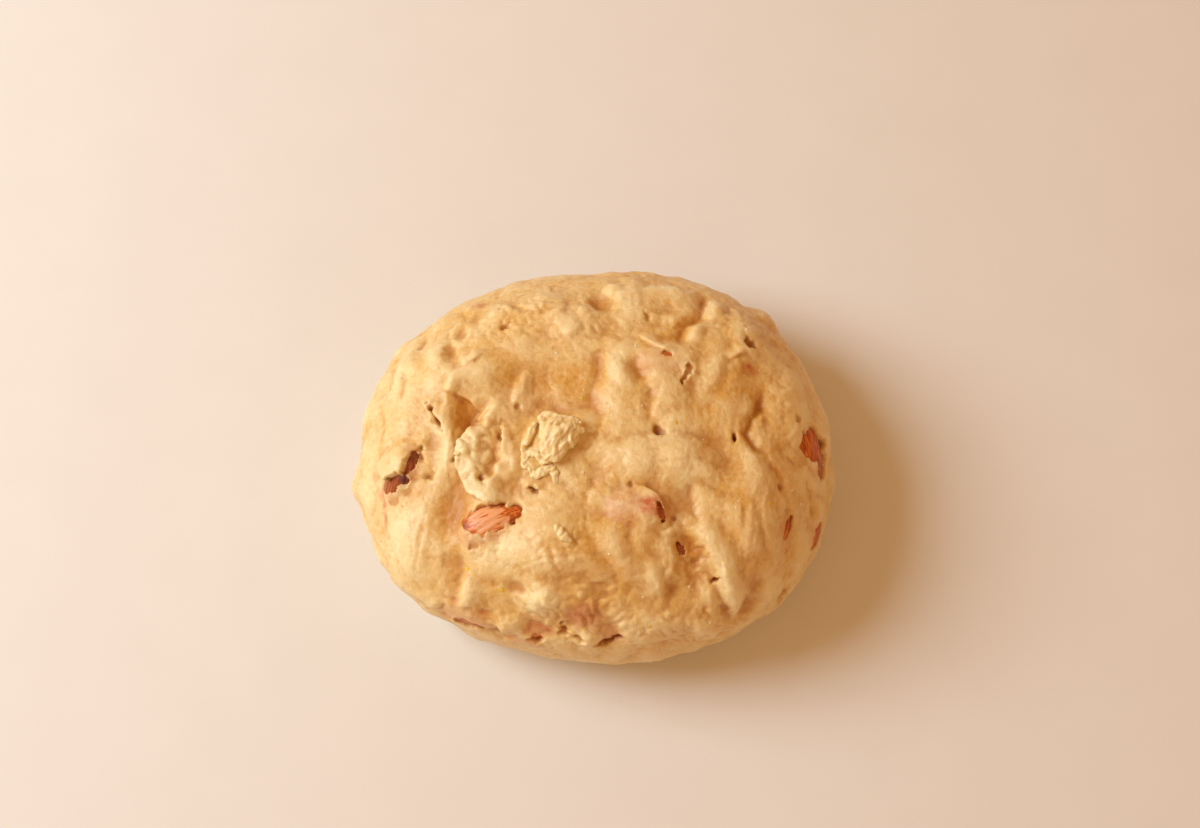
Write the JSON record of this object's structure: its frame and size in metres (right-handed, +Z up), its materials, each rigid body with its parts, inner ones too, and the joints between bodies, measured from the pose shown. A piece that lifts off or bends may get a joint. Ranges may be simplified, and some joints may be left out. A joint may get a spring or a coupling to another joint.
{
  "type": "almond cookie dough",
  "caption": "Kneaded lump of raw almond cookie dough, flat underneath, with folds, a ragged tuft and whole almonds showing through its skin.",
  "frame": {"origin": "middle of the lump seen from above, on the flat it rests on", "axes": "+X to the right along the lump's longer side, +Y to the back, +Z up"},
  "size_m": [0.1618, 0.1378, 0.0646],
  "materials": {
    "dough": "moist raw dough, soft satin",
    "almond_skin": "ridged almond skin, slightly moist"
  },
  "bodies": {
    "root": {"dough": "dough", "almond_flap": "almond_skin", "almond_left_slit": "almond_skin", "almond_right": "almond_skin", "almond_back_bump": "almond_skin", "almond_middle_bump": "almond_skin", "almond_right_side": "almond_skin", "almond_right_rim": "almond_skin", "almond_front_rim_left": "almond_skin", "almond_front_rim": "almond_skin", "almond_front_rim_right": "almond_skin", "almond_cleft": "almond_skin"}
  },
  "joints": []
}
